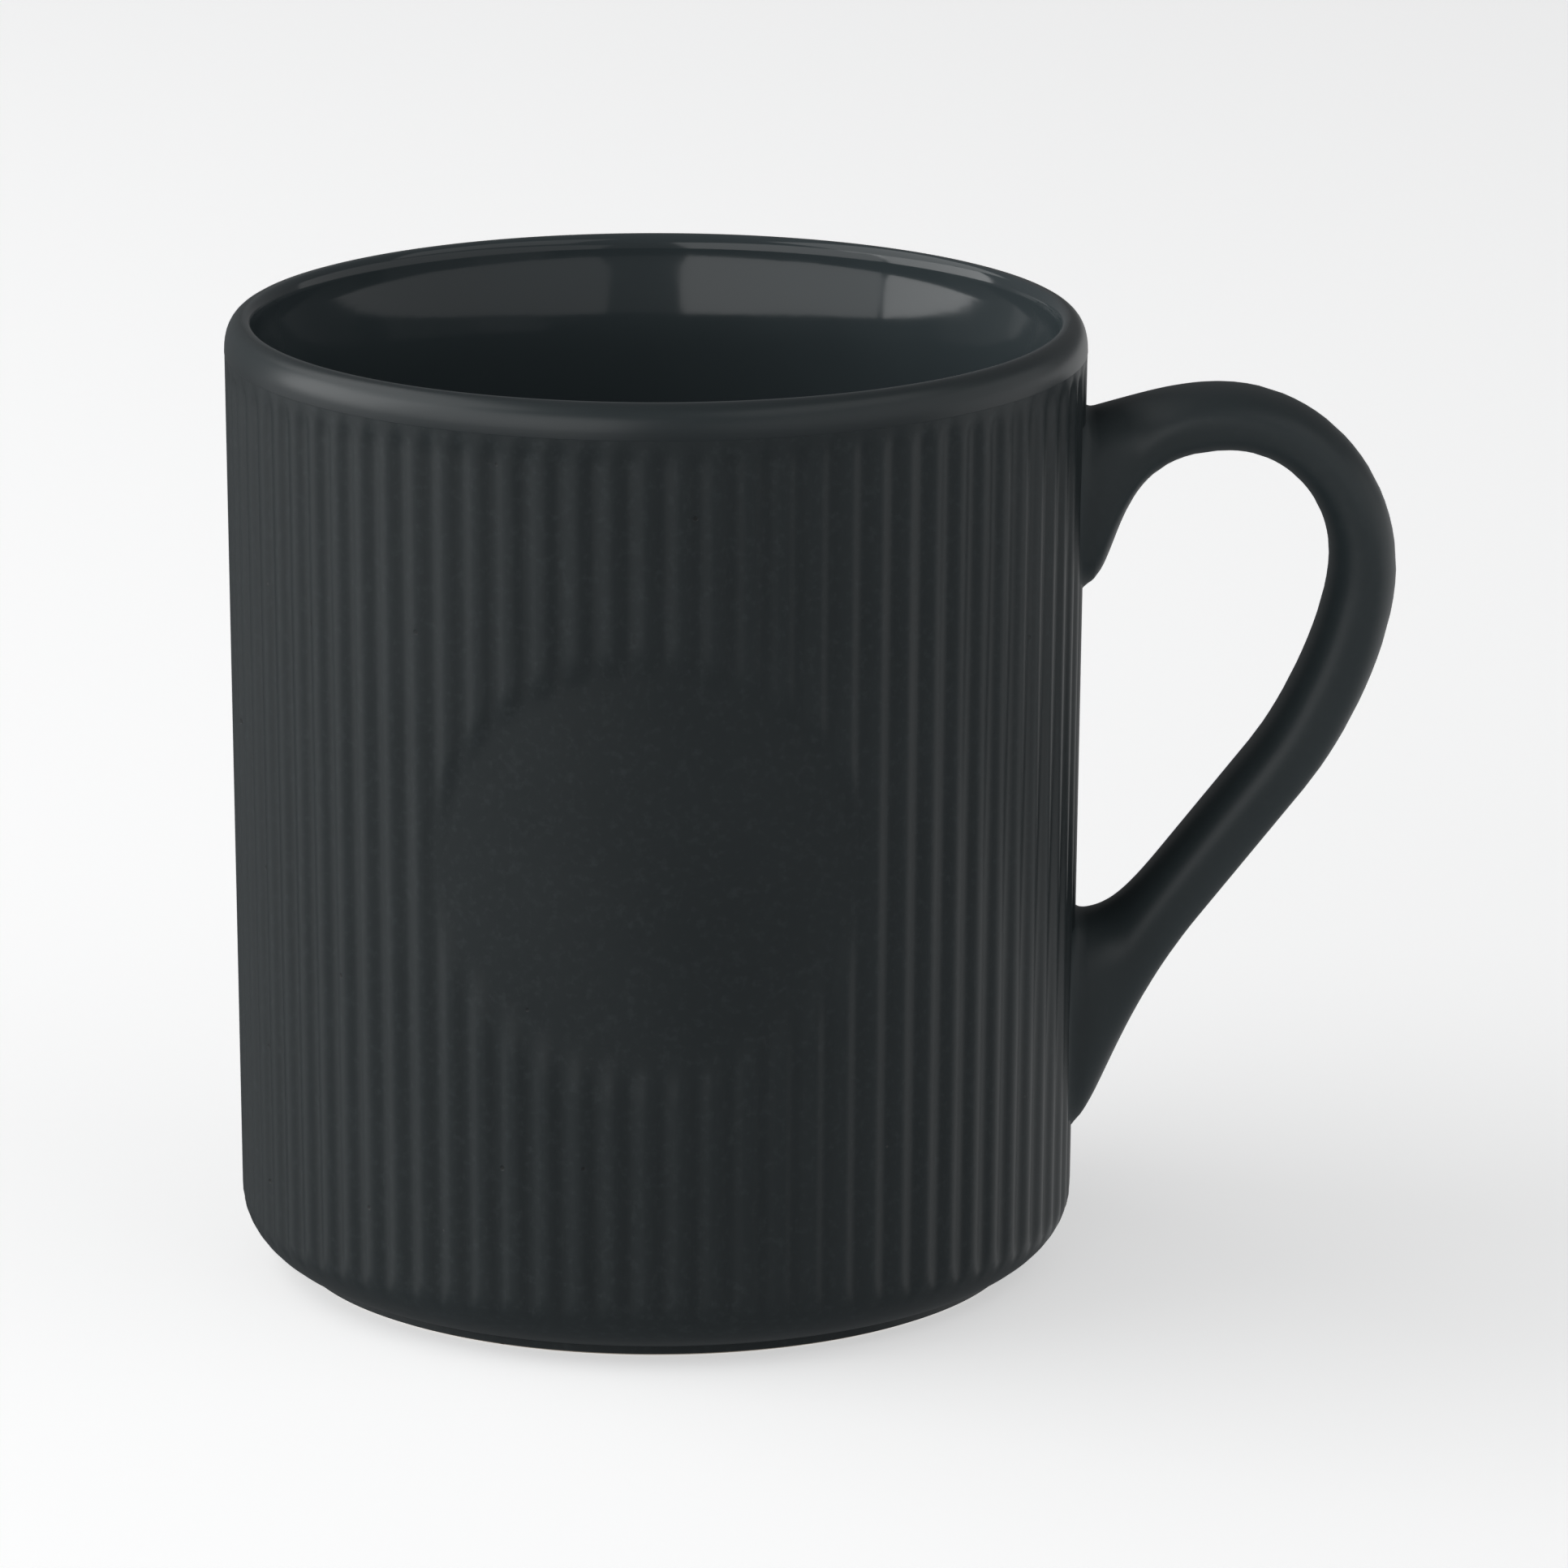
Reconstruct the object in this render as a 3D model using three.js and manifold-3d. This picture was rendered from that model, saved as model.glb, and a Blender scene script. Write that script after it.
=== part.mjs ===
// A stoneware mug: a fluted cup with a smooth round field on its front, a separately cast
// handle luted on with slip at two roots, and the glaze coats over them.
// Millimetres, +Z up. The mug stands on z = 0, the handle points along +X and the round
// field faces -Y. Shapes are made about the cup's axis; the group then puts the middle of
// the whole mug's footprint over the origin.

import * as THREE from "three";
import { mergeVertices } from "three/addons/utils/BufferGeometryUtils.js";
import Module from "manifold-3d";

const wasm = await Module();
wasm.setup();

// ---- Driving dimensions: finished sizes, over the glaze ----

const CUP_HEIGHT = 93.6;
const RIM_RADIUS = 41.5; // outside of the wall just under the lip
const BASE_RADIUS = 40.7; // outside of the wall just above the bottom corner
const WALL = 4.3;
const FLOOR = 5; // from the table to the inside floor

const CORNER_REACH = 6.5; // the rounded bottom corner, inwards from the wall
const CORNER_RISE = 6.3; // and upwards from the foot
const INSIDE_CORNER = 8;

const FOOT_INSET = 5.3; // from the wall inwards to the foot's outer side
const FOOT_WIDTH = 3.2;
const FOOT_HEIGHT = 1;
const FOOT_SLOPE = 0.8; // how far the foot's inner side leans over its height
const BARE_FOOT = 0.3; // clay left bare above the table
const BASE_RECESS = 1.6; // underside inside the foot, above the table

const LIP_WALL = 2.9; // the wall thins to this from below the lip up to it
const LIP_TAPER_DROP = 9.6; // from the rim down to where it starts to thin
const LIP_REACH = 2; // the lip's outer rounding, inwards from the wall
const LIP_RISE = 3.2;
const LIP_INNER_RISE = 1;

const FLUTES = 80;
const FLUTE_DEPTH = 0.4;
const FLUTE_FADE = 2; // height over which a flute rises to its end at the shoulder

const FIELD_RADIUS = 20.3; // the smooth round field, half way up the wall
const FIELD_SINK = 0.05; // how far it lies under the grooves

const HANDLE_REACH = 30; // from the rim's outside to the handle's outermost point
const HANDLE_CROWN_X = 12.8; // from the rim's outside to the top of the loop
const HANDLE_TOP_DROP = 6.5; // from the rim down to the top of the loop
const UPPER_ROOT_DROP = 2.6; // from the top of the loop down to the upper root
const HANDLE_BELLY_DROP = 18.1; // from the top of the loop to its outermost point
const HANDLE_FOOT = 12.8; // from the table to the lower root's end
const HANDLE_WIDTH = 10.4;
const CROWN_THICKNESS = 6.3;
const BELLY_THICKNESS = 6.5;
const ARM_THICKNESS = 6.9; // of the slanting lower arm
const ARM_ANGLE = THREE.MathUtils.degToRad(52); // of the lower arm above the level
const ARM_INSET = 8.5; // from the outermost point inwards to the arm's upper end
const ARM_START = 0.388; // the arm's upper and lower ends, as shares of the way down from
const ARM_END = 0.619; // the outermost point to the lower root's end
const UPPER_ROOT_HEIGHT = 17.4;
const LOWER_ROOT_HEIGHT = 21.8;
const ROOT_WIDTH = 12;
const ROOT_BLEND = 5; // distance from the wall over which the width reaches the root's

const GLAZE = 0.35;
const SLIP_SEAM = 0.6; // slip between the handle's root and the wall
const SLIP_BEAD = 1.3; // slip pressed out round a root, along and off the wall
const FIT = 0.05; // clearance between one layer and the next

// ---- Fineness of the facets ----

const CORNER_STEPS = 3;
const LIP_STEPS = 2;
const LIP_INNER_STEPS = 1;
const WALL_SIDES = 2 * FLUTES; // a side from each crest to each groove
const LINER_SIDES = 64;
const STRAP_SIDES = 12;
const STRAP_STEPS = [3, 4, 3, 1, 4]; // sections in each stretch of the handle

// ---- Derived places ----

const SHOULDER_Z = CUP_HEIGHT - LIP_RISE;
const CORNER_Z = FOOT_HEIGHT + CORNER_RISE;
const FOOT_RADIUS = BASE_RADIUS - FOOT_INSET;
const FIELD_CENTRE_Z = (CORNER_Z + SHOULDER_Z) / 2;
const FIELD_DEPTH = FLUTE_DEPTH + FIELD_SINK;
const CROWN_Z = CUP_HEIGHT - HANDLE_TOP_DROP;
const UPPER_ROOT_TOP = CROWN_Z - UPPER_ROOT_DROP;
const UPPER_ROOT_END = UPPER_ROOT_TOP - UPPER_ROOT_HEIGHT;
const LOWER_ROOT_TOP = HANDLE_FOOT + LOWER_ROOT_HEIGHT;
const CLAY = GLAZE + FIT; // depth of the clay's surface under the finished surface
const BEYOND = 3; // how far a cutting shape runs past what it cuts

// ---- Solids ----

// A closed three.js geometry as a manifold solid.
function solid(geometry) {
  const bare = geometry.clone();
  bare.deleteAttribute("normal");
  bare.deleteAttribute("uv");
  const merged = mergeVertices(bare, 1e-5);
  const index = merged.index.array;
  const kept = [];
  for (let i = 0; i < index.length; i += 3) {
    const [a, b, c] = index.slice(i, i + 3);
    if (a !== b && b !== c && c !== a) kept.push(a, b, c);
  }
  return new wasm.Manifold(
    new wasm.Mesh({
      numProp: 3,
      vertProperties: merged.attributes.position.array,
      triVerts: new Uint32Array(kept),
    }),
  );
}

// A solid as a named mesh with its own material.
function mesh(name, shape, colour, roughness) {
  const { numProp, vertProperties, triVerts } = shape.getMesh();
  const geometry = new THREE.BufferGeometry();
  geometry.setAttribute("position", new THREE.BufferAttribute(vertProperties, numProp));
  geometry.setIndex(new THREE.BufferAttribute(triVerts, 1));
  geometry.computeVertexNormals();
  const material = new THREE.MeshStandardMaterial({ color: colour, roughness, metalness: 0 });
  const made = new THREE.Mesh(geometry, material);
  made.name = name;
  return made;
}

// A profile of (radius, z) points turned about the cup's axis.
function turned(profile, sides) {
  return solid(new THREE.LatheGeometry(profile, sides).rotateX(Math.PI / 2));
}

function at(radius, z) {
  return new THREE.Vector2(radius, z);
}

function arc(centre, reach, rise, from, to, steps) {
  const clockwise = to < from;
  return new THREE.EllipseCurve(centre.x, centre.y, reach, rise, from, to, clockwise).getPoints(steps);
}

// ---- Outlines of the cup, at a depth under the finished surface ----

// Radius of the straight wall, run on above and below where it ends.
function wallRadius(z) {
  const share = (z - CORNER_Z) / (SHOULDER_Z - CORNER_Z);
  return BASE_RADIUS + share * (RIM_RADIUS - BASE_RADIUS);
}

// Outside of the cup, from z up the foot, round the corner and up the wall to the shoulder.
function outsideLine(depth, z) {
  const centre = at(BASE_RADIUS - CORNER_REACH, CORNER_Z);
  const foot = FOOT_RADIUS - depth;
  const reach = CORNER_REACH - depth;
  const start = Math.acos(Math.max(0, (foot - centre.x) / reach));
  const corner = arc(centre, reach, CORNER_RISE - depth, -start, 0, CORNER_STEPS);
  const wallHeights = [SHOULDER_Z - FLUTE_FADE, SHOULDER_Z];
  return [
    at(foot, z),
    at(foot, corner[0].y),
    ...corner,
    ...wallHeights.map((height) => at(wallRadius(height) - depth, height)),
  ];
}

// Over the lip, from the shoulder to the top of the inside wall.
function lipLine(depth) {
  const top = RIM_RADIUS - LIP_REACH;
  const outer = arc(at(top, SHOULDER_Z), LIP_REACH - depth, LIP_RISE - depth, 0, Math.PI / 2, LIP_STEPS);
  const inner = arc(
    at(top, CUP_HEIGHT - LIP_INNER_RISE),
    LIP_WALL - LIP_REACH - depth,
    LIP_INNER_RISE - depth,
    Math.PI / 2,
    Math.PI,
    LIP_INNER_STEPS,
  );
  return [...outer, ...inner.slice(1)];
}

// Down the inside wall, round the inside corner and across the floor to the axis.
function insideLine(depth) {
  const taper = CUP_HEIGHT - LIP_TAPER_DROP;
  const z = FLOOR + INSIDE_CORNER;
  const centre = at(wallRadius(z) - WALL - INSIDE_CORNER, z);
  const radius = INSIDE_CORNER + depth;
  const corner = arc(centre, radius, radius, 0, -Math.PI / 2, CORNER_STEPS);
  return [at(wallRadius(taper) - WALL + depth, taper), ...corner, at(0, FLOOR - depth)];
}

// ---- The cup's outside as a solid, at a depth under the finished surface ----

// Between two crests the surface is drawn in to the groove's line, which runs out by itself
// where the bottom corner curves away under it.
function flutedBlank(depth, bottom, top) {
  const line = outsideLine(depth, bottom);
  const profile = [at(0, bottom), ...line, at(wallRadius(top) - depth, top), at(0, top)];
  const geometry = new THREE.LatheGeometry(profile, WALL_SIDES);
  const position = geometry.getAttribute("position");
  for (let i = 0; i < position.count; i++) {
    const side = Math.floor(i / profile.length);
    const { x: radius, y: z } = profile[i % profile.length];
    const fade = THREE.MathUtils.clamp((SHOULDER_Z - z) / FLUTE_FADE, 0, 1);
    const groove = wallRadius(z) - depth - FLUTE_DEPTH * fade;
    if (side % 2 === 1 && radius > groove) {
      position.setX(i, (position.getX(i) * groove) / radius);
      position.setZ(i, (position.getZ(i) * groove) / radius);
    }
  }
  return solid(geometry.rotateX(Math.PI / 2)).subtract(fieldCutter(depth));
}

// The same without flutes or field, running past the cup at both ends.
function plainBlank(depth) {
  const bottom = -BEYOND;
  const top = CUP_HEIGHT + BEYOND;
  const line = outsideLine(depth, bottom);
  return turned([at(0, bottom), ...line, at(wallRadius(top) - depth, top), at(0, top)], WALL_SIDES);
}

function flutedWall(depth) {
  return flutedBlank(depth, -BEYOND, CUP_HEIGHT + BEYOND);
}

function fieldCutter(depth) {
  const radius = FIELD_RADIUS + depth;
  const disc = new THREE.CylinderGeometry(radius, radius, RIM_RADIUS, LINER_SIDES);
  disc.translate(0, -RIM_RADIUS, FIELD_CENTRE_Z);
  return solid(disc).subtract(plainBlank(depth + FIELD_DEPTH));
}

// ---- Handle: sections between an outer and an inner contour ----

function bezier(a, b, c, d) {
  return new THREE.CubicBezierCurve(a, b, c, d);
}

// A quarter of an ellipse as one Bezier stretch: it leaves along the level and ends upright.
function quarter(from, to) {
  const k = 0.5523;
  const first = at(from.x + k * (to.x - from.x), from.y);
  const second = at(to.x, to.y + k * (from.y - to.y));
  return bezier(from, first, second, to);
}

function along(point, angle, distance) {
  return at(point.x + distance * Math.cos(angle), point.y + distance * Math.sin(angle));
}

function offset(point, step) {
  return point.clone().add(step);
}

// The two contours in the plane of the loop, stretch by stretch from the upper root to the
// lower one, as (distance from the cup's axis, z). Each pull is the length over which a curve
// keeps the direction of its end.
function contours() {
  const sink = 0.2; // the contours end just under the wall's surface
  const onWall = (z) => at(wallRadius(z) - sink, z);
  const rootTop = onWall(UPPER_ROOT_TOP);
  const rootEnd = onWall(UPPER_ROOT_END);
  const footTop = onWall(LOWER_ROOT_TOP);
  const footEnd = onWall(HANDLE_FOOT);

  const crownLean = 1; // the inner contour's top and outermost points lie off the outer ones
  const bellyLean = 1.3;
  const crown = at(RIM_RADIUS + HANDLE_CROWN_X, CROWN_Z);
  const innerCrown = at(crown.x + crownLean, crown.y - CROWN_THICKNESS);
  const belly = at(RIM_RADIUS + HANDLE_REACH, crown.y - HANDLE_BELLY_DROP);
  const innerBelly = at(belly.x - BELLY_THICKNESS, belly.y + bellyLean);

  const down = ARM_ANGLE + Math.PI;
  const across = ARM_ANGLE + Math.PI / 2;
  const fall = belly.y - footEnd.y;
  const armLength = ((ARM_END - ARM_START) * fall) / Math.sin(ARM_ANGLE);
  const innerArmCut = 2.5; // the arm's inner side ends this much sooner
  const armTop = at(belly.x - ARM_INSET, belly.y - ARM_START * fall);
  const armEnd = along(armTop, down, armLength);
  const innerArmTop = along(armTop, across, ARM_THICKNESS);
  const innerArmEnd = along(innerArmTop, down, armLength - innerArmCut);

  const topPull = at(5.1, 1.5);
  const crownPull = 4.5;
  const bellyPull = 7.2;
  const armPull = 6.6;
  const straightPull = 5;
  const flarePull = 13;
  const heelPull = at(2.9, 2.2);
  const outer = [
    bezier(rootTop, offset(rootTop, topPull), at(crown.x - crownPull, crown.y), crown),
    quarter(crown, belly),
    bezier(belly, at(belly.x, belly.y - bellyPull), along(armTop, ARM_ANGLE, armPull), armTop),
    bezier(armTop, along(armTop, down, straightPull), along(armEnd, ARM_ANGLE, straightPull), armEnd),
    bezier(armEnd, along(armEnd, down, flarePull), offset(footEnd, heelPull), footEnd),
  ];

  const throatPull = at(4.5, 1.5);
  const innerCrownPull = at(-12.6, 0);
  const innerBellyPull = at(0, -5.6);
  const innerArmPull = 5.4;
  const innerFlarePull = 6;
  const footPull = at(2.8, 0);
  const inner = [
    bezier(rootEnd, offset(rootEnd, throatPull), offset(innerCrown, innerCrownPull), innerCrown),
    quarter(innerCrown, innerBelly),
    bezier(
      innerBelly,
      offset(innerBelly, innerBellyPull),
      along(innerArmTop, ARM_ANGLE, innerArmPull),
      innerArmTop,
    ),
    bezier(
      innerArmTop,
      along(innerArmTop, down, straightPull),
      along(innerArmEnd, ARM_ANGLE, straightPull),
      innerArmEnd,
    ),
    bezier(innerArmEnd, along(innerArmEnd, down, innerFlarePull), offset(footTop, footPull), footTop),
  ];
  return { outer, inner };
}

// Sections along the handle: middle, half of the chord from inner to outer contour, half width.
function sections() {
  const { outer, inner } = contours();
  const found = [];
  outer.forEach((curve, stretch) => {
    const steps = STRAP_STEPS[stretch];
    const last = stretch === outer.length - 1 ? steps : steps - 1;
    for (let i = 0; i <= last; i++) {
      const a = curve.getPoint(i / steps);
      const b = inner[stretch].getPoint(i / steps);
      const middle = at((a.x + b.x) / 2, (a.y + b.y) / 2);
      const chord = at((a.x - b.x) / 2, (a.y - b.y) / 2);
      const near = THREE.MathUtils.clamp(1 - (middle.x - wallRadius(middle.y)) / ROOT_BLEND, 0, 1);
      found.push({ middle, chord, width: (HANDLE_WIDTH + near * (ROOT_WIDTH - HANDLE_WIDTH)) / 2 });
    }
  });
  const run = (end) => ({ ...end, middle: at(end.middle.x - WALL, end.middle.y) });
  return [run(found[0]), ...found, run(found[found.length - 1])];
}

// The handle's strap, its surface at a depth under the finished one. A unit cylinder's rings
// are laid onto the sections, and both ends run on into the wall.
function strap(depth) {
  const stations = sections();
  const rings = stations.length - 1;
  const geometry = new THREE.CylinderGeometry(1, 1, 1, STRAP_SIDES, rings);
  const position = geometry.getAttribute("position");
  for (let i = 0; i < position.count; i++) {
    const ring = Math.round((0.5 - position.getY(i)) * rings);
    const { middle, chord, width } = stations[ring];
    const share = position.getX(i) * (1 - depth / chord.length());
    const y = -position.getZ(i) * (width - depth);
    position.setXYZ(i, middle.x + chord.x * share, y, middle.y + chord.y * share);
  }
  return solid(geometry);
}

// Everything over or under the level half way between the two roots.
function half(upper) {
  const size = 2 * (CUP_HEIGHT + RIM_RADIUS + HANDLE_REACH);
  const level = (UPPER_ROOT_END + LOWER_ROOT_TOP) / 2;
  const box = new THREE.BoxGeometry(size, size, size);
  return solid(box.translate(0, 0, level + (upper ? size : -size) / 2));
}

// The beads of slip round both roots, their surface at a depth under the finished one.
function beads(depth) {
  return strap(depth - SLIP_BEAD).intersect(plainBlank(depth - SLIP_BEAD));
}

// The cast handle between its two slip seams, grown by a clearance.
function castHandle(grow) {
  return strap(CLAY - grow).subtract(plainBlank(CLAY - SLIP_SEAM + grow));
}

// ---- The mug's pieces ----

// All that lies inside the cup and over its lip, down to a depth under the finished surface.
function hollow(depth) {
  const outside = RIM_RADIUS + BEYOND;
  const above = CUP_HEIGHT + BEYOND;
  const line = [at(outside, SHOULDER_Z), ...lipLine(depth), ...insideLine(depth)];
  return turned([at(0, above), at(outside, above), ...line].reverse(), LINER_SIDES);
}

function cupBody() {
  const inner = FOOT_RADIUS - FOOT_WIDTH;
  const recess = BASE_RECESS + CLAY;
  const underside = [at(0, -BEYOND), at(inner, -BEYOND), at(inner, 0), at(inner - FOOT_SLOPE, recess)];
  const clay = flutedBlank(CLAY, 0, CUP_HEIGHT);
  return clay.subtract(hollow(CLAY)).subtract(turned([...underside, at(0, recess)], LINER_SIDES));
}

function outerGlaze() {
  const outside = flutedBlank(0, BARE_FOOT, SHOULDER_Z);
  return outside.subtract(flutedWall(GLAZE)).subtract(strap(GLAZE - SLIP_BEAD));
}

function innerGlaze() {
  const front = [...lipLine(0), ...insideLine(0)];
  const back = [...lipLine(GLAZE), ...insideLine(GLAZE)];
  front[0].y += FIT;
  back[0].y += FIT;
  return turned([...back.reverse(), ...front], LINER_SIDES);
}

function undersideGlaze() {
  const radius = FOOT_RADIUS - FOOT_WIDTH - FOOT_SLOPE - FIT;
  const disc = new THREE.CylinderGeometry(radius, radius, GLAZE, LINER_SIDES);
  return solid(disc.rotateX(Math.PI / 2).translate(0, 0, BASE_RECESS + GLAZE / 2));
}

function slipJoint(upper) {
  const slip = strap(CLAY).intersect(plainBlank(CLAY - SLIP_SEAM)).add(beads(CLAY));
  return slip.subtract(castHandle(FIT)).subtract(flutedWall(GLAZE)).intersect(half(upper));
}

function handleGlaze() {
  const outside = strap(0).add(beads(0));
  const back = strap(GLAZE).add(beads(GLAZE));
  return outside.subtract(back).subtract(flutedWall(-FIT));
}

const SATIN = 0x2f3435;
const GLOSS = 0x1d2123;
const STONEWARE = 0x8c8378;
const SLIP = 0x9a9186;

const mug = new THREE.Group();
mug.name = "mug";
mug.add(mesh("cup_body", cupBody(), STONEWARE, 0.85));
mug.add(mesh("handle_core", castHandle(0), STONEWARE, 0.85));
mug.add(mesh("upper_slip_joint", slipJoint(true), SLIP, 0.9));
mug.add(mesh("lower_slip_joint", slipJoint(false), SLIP, 0.9));
mug.add(mesh("outer_glaze", outerGlaze(), SATIN, 0.45));
mug.add(mesh("inner_glaze", innerGlaze(), GLOSS, 0.08));
mug.add(mesh("underside_glaze", undersideGlaze(), SATIN, 0.45));
mug.add(mesh("handle_glaze", handleGlaze(), SATIN, 0.45));
mug.position.x = -HANDLE_REACH / 2;

export default mug;
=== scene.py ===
# A fluted stoneware mug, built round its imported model: cast clay, slip at the handle's two
# roots, a satin glaze outside and a gloss glaze inside and over the lip.
# Outlines are in millimetres off the cup's axis and up from the table; objects are in metres.

import math

import bpy
import numpy as np
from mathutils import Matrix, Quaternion, Vector


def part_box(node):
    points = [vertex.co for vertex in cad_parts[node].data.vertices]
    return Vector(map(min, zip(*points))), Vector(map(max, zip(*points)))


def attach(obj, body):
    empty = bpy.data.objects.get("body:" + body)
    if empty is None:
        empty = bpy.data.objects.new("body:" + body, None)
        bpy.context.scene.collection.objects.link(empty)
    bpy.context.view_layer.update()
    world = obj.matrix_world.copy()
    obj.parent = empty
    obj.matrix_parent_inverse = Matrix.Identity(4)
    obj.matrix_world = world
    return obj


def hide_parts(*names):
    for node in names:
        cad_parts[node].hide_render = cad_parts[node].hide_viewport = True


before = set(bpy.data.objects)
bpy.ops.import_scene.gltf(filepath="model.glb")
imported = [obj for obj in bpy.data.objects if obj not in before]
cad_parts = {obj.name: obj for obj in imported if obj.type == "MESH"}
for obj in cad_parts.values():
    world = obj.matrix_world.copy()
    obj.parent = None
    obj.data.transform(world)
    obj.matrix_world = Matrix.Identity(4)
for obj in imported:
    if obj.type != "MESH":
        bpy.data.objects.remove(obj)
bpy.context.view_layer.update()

MM = 0.001
SAME_PLACE = 0.001 * MM  # vertices closer together than this are one

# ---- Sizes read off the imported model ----

coat_low, coat_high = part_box("outer_glaze")
liner_low, liner_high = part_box("inner_glaze")
strap_low, strap_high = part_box("handle_glaze")
under_low, under_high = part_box("underside_glaze")

AXIS_X = (coat_low.x + coat_high.x) / 2
RIM_RADIUS = (coat_high.x - coat_low.x) / 2 / MM
BARE_FOOT = coat_low.z / MM
SHOULDER_Z = coat_high.z / MM
CUP_HEIGHT = liner_high.z / MM
HANDLE_OUT = (strap_high.x - AXIS_X) / MM
CROWN_Z = strap_high.z / MM
BASE_RECESS = under_low.z / MM
GLAZE = (under_high.z - under_low.z) / MM
FLOOR = liner_low.z / MM + GLAZE

# ---- Driving sizes of the cup ----

BASE_RADIUS = 40.7
WALL = 4.3
WALL_TOP = 81.5  # above it the wall tapers towards the lip
CORNER_REACH = 6.5
CORNER_RISE = 6.3
INSIDE_CORNER = 8
FOOT_RADIUS = BASE_RADIUS - 5.3
FOOT_WIDTH = 3.2
FOOT_HEIGHT = 1
FOOT_SLOPE = 0.8
CLEARANCE = 0.05  # between a coat or the slip and the clay
CLAY = GLAZE + CLEARANCE  # depth of the clay's surface under the finished one
LIP_WALL = 2.9
LIP_REACH = 2
LIP_POWER = 2.3  # of the lip's outer rounding: 2 is elliptic, more is fuller
LIP_INNER_RISE = 1.7
LIP_LEAN = math.radians(11.5)  # of the inside wall just under the lip
LIP_LEAN_LENGTH = 3.8  # how far down it leans before it bends
GLOSS_EDGE = 0.1  # from the lip's crown outwards to where the gloss gives way to satin

FLUTES = 80
FLUTE_DEPTH = 0.4
FLUTE_END = 2.2  # length of a flute's rounded end
FIELD_RADIUS = 20.3
FIELD_DEPTH = 0.45
FIELD_EDGE = 2.4  # width of the slope round the field
FIELD_POOL = 3  # what glaze gathered along its lower edge adds to that slope's width
RING_STEP = 7  # between a coat's rings where the flutes run straight

# ---- Driving sizes of the handle ----

HANDLE_CROWN_X = 12.8  # of the crown, past the rim
HANDLE_BELLY_DROP = 18.1  # from the crown down to the furthest point
HANDLE_FOOT = 12.8  # height of the lower root's end
HANDLE_WIDTH = 10.4
CROWN_THICKNESS = 6.3
BELLY_THICKNESS = 6.5
ARM_THICKNESS = 6.9
ARM_ANGLE = math.radians(52)
ARM_INSET = 8.5  # of the arm's start, in from the furthest point
ARM_START = 0.388  # where the straight arm starts, as a share of the fall from there to the foot
ARM_END = 0.619
UPPER_ROOT_TOP = CROWN_Z - 2.6
UPPER_ROOT_END = UPPER_ROOT_TOP - 17.4
LOWER_ROOT_TOP = HANDLE_FOOT + 21.8
ROOT_WIDTH = 12
ROOT_BLEND = 5  # distance off the wall over which the strap widens into its root
SLIP_REACH = 1.5  # slip fillet at the roots' sides, off the wall and along it
SLIP_REACH_ENDS = 0.6  # and at their upper and lower ends
SLIP_GAP = 0.03  # between the slip bead's inside and the strap's clay
SEAM = 0.2  # thickness of the slip under a root
SECTION_POWER = 2.25  # 2 is a plain oval section, more is squarer
INTO_WALL = 3  # how far the strap's outline is carried on inside the wall
STRAP_SIDES = 48
STRAP_STEPS = (28, 22, 16, 8, 32)  # points along each stretch, from the upper root

CORNER_Z = FOOT_HEIGHT + CORNER_RISE
FIELD_CENTRE_Z = (CORNER_Z + SHOULDER_Z) / 2


# ---- Outlines ----


def wall_radius(z):
    """Radius of the cup's straight wall over the flutes' crests, at height z."""
    share = (z - CORNER_Z) / (SHOULDER_Z - CORNER_Z)
    return BASE_RADIUS + share * (RIM_RADIUS - BASE_RADIUS)


def arc(centre, reach, rise, start, end, steps):
    """Part of an ellipse, from one angle to another."""
    turns = np.linspace(start, end, steps + 1)
    return [(centre[0] + reach * math.cos(t), centre[1] + rise * math.sin(t)) for t in turns]


def full_arc(centre, reach, rise, steps):
    """A quarter round that stays upright for longer than an ellipse."""
    turns = np.linspace(0, math.pi / 2, steps + 1)
    power = 2 / LIP_POWER
    share = [(abs(math.cos(t)) ** power, math.sin(t) ** power) for t in turns]
    return [(centre[0] + reach * x, centre[1] + rise * z) for x, z in share]


def level_steps(low, high, step):
    """Heights from low to high, both included, no further apart than the step."""
    return list(np.linspace(low, high, math.ceil((high - low) / step) + 1))


def outside_line(depth, bottom, fine, steps):
    """From the foot's outer side up round the corner and up the wall to the shoulder. Rings are
    close together, the fine step apart, round the field and where the flutes end."""
    centre = (BASE_RADIUS - CORNER_REACH, CORNER_Z)
    reach = CORNER_REACH - depth
    foot = FOOT_RADIUS - depth
    start = -math.acos((foot - centre[0]) / reach)
    corner = arc(centre, reach, CORNER_RISE - depth, start, 0, steps)
    span = FIELD_RADIUS + FIELD_EDGE / 2 + FIELD_POOL
    heights = level_steps(CORNER_Z, CORNER_Z + 2, 1)[1:]
    heights += level_steps(CORNER_Z + 6, FIELD_CENTRE_Z - span, RING_STEP)
    heights += level_steps(FIELD_CENTRE_Z - span, FIELD_CENTRE_Z + span, fine)[1:]
    heights += level_steps(FIELD_CENTRE_Z + span, SHOULDER_Z - 2 * FLUTE_END, RING_STEP)[1:]
    heights += level_steps(SHOULDER_Z - 2 * FLUTE_END, SHOULDER_Z, fine)[1:]
    return [(foot, bottom)] + corner + [(wall_radius(z) - depth, z) for z in heights]


def lip_line(depth, steps):
    """From the shoulder over the lip to where the inside wall begins."""
    top = RIM_RADIUS - LIP_REACH
    rise = CUP_HEIGHT - SHOULDER_Z
    outer = full_arc((top, SHOULDER_Z), LIP_REACH - depth, rise - depth, steps)
    centre = (top, CUP_HEIGHT - LIP_INNER_RISE)
    reach = LIP_WALL - LIP_REACH - depth
    inner = arc(centre, reach, LIP_INNER_RISE - depth, math.pi / 2, math.radians(170), steps)
    return outer + inner[1:]


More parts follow.
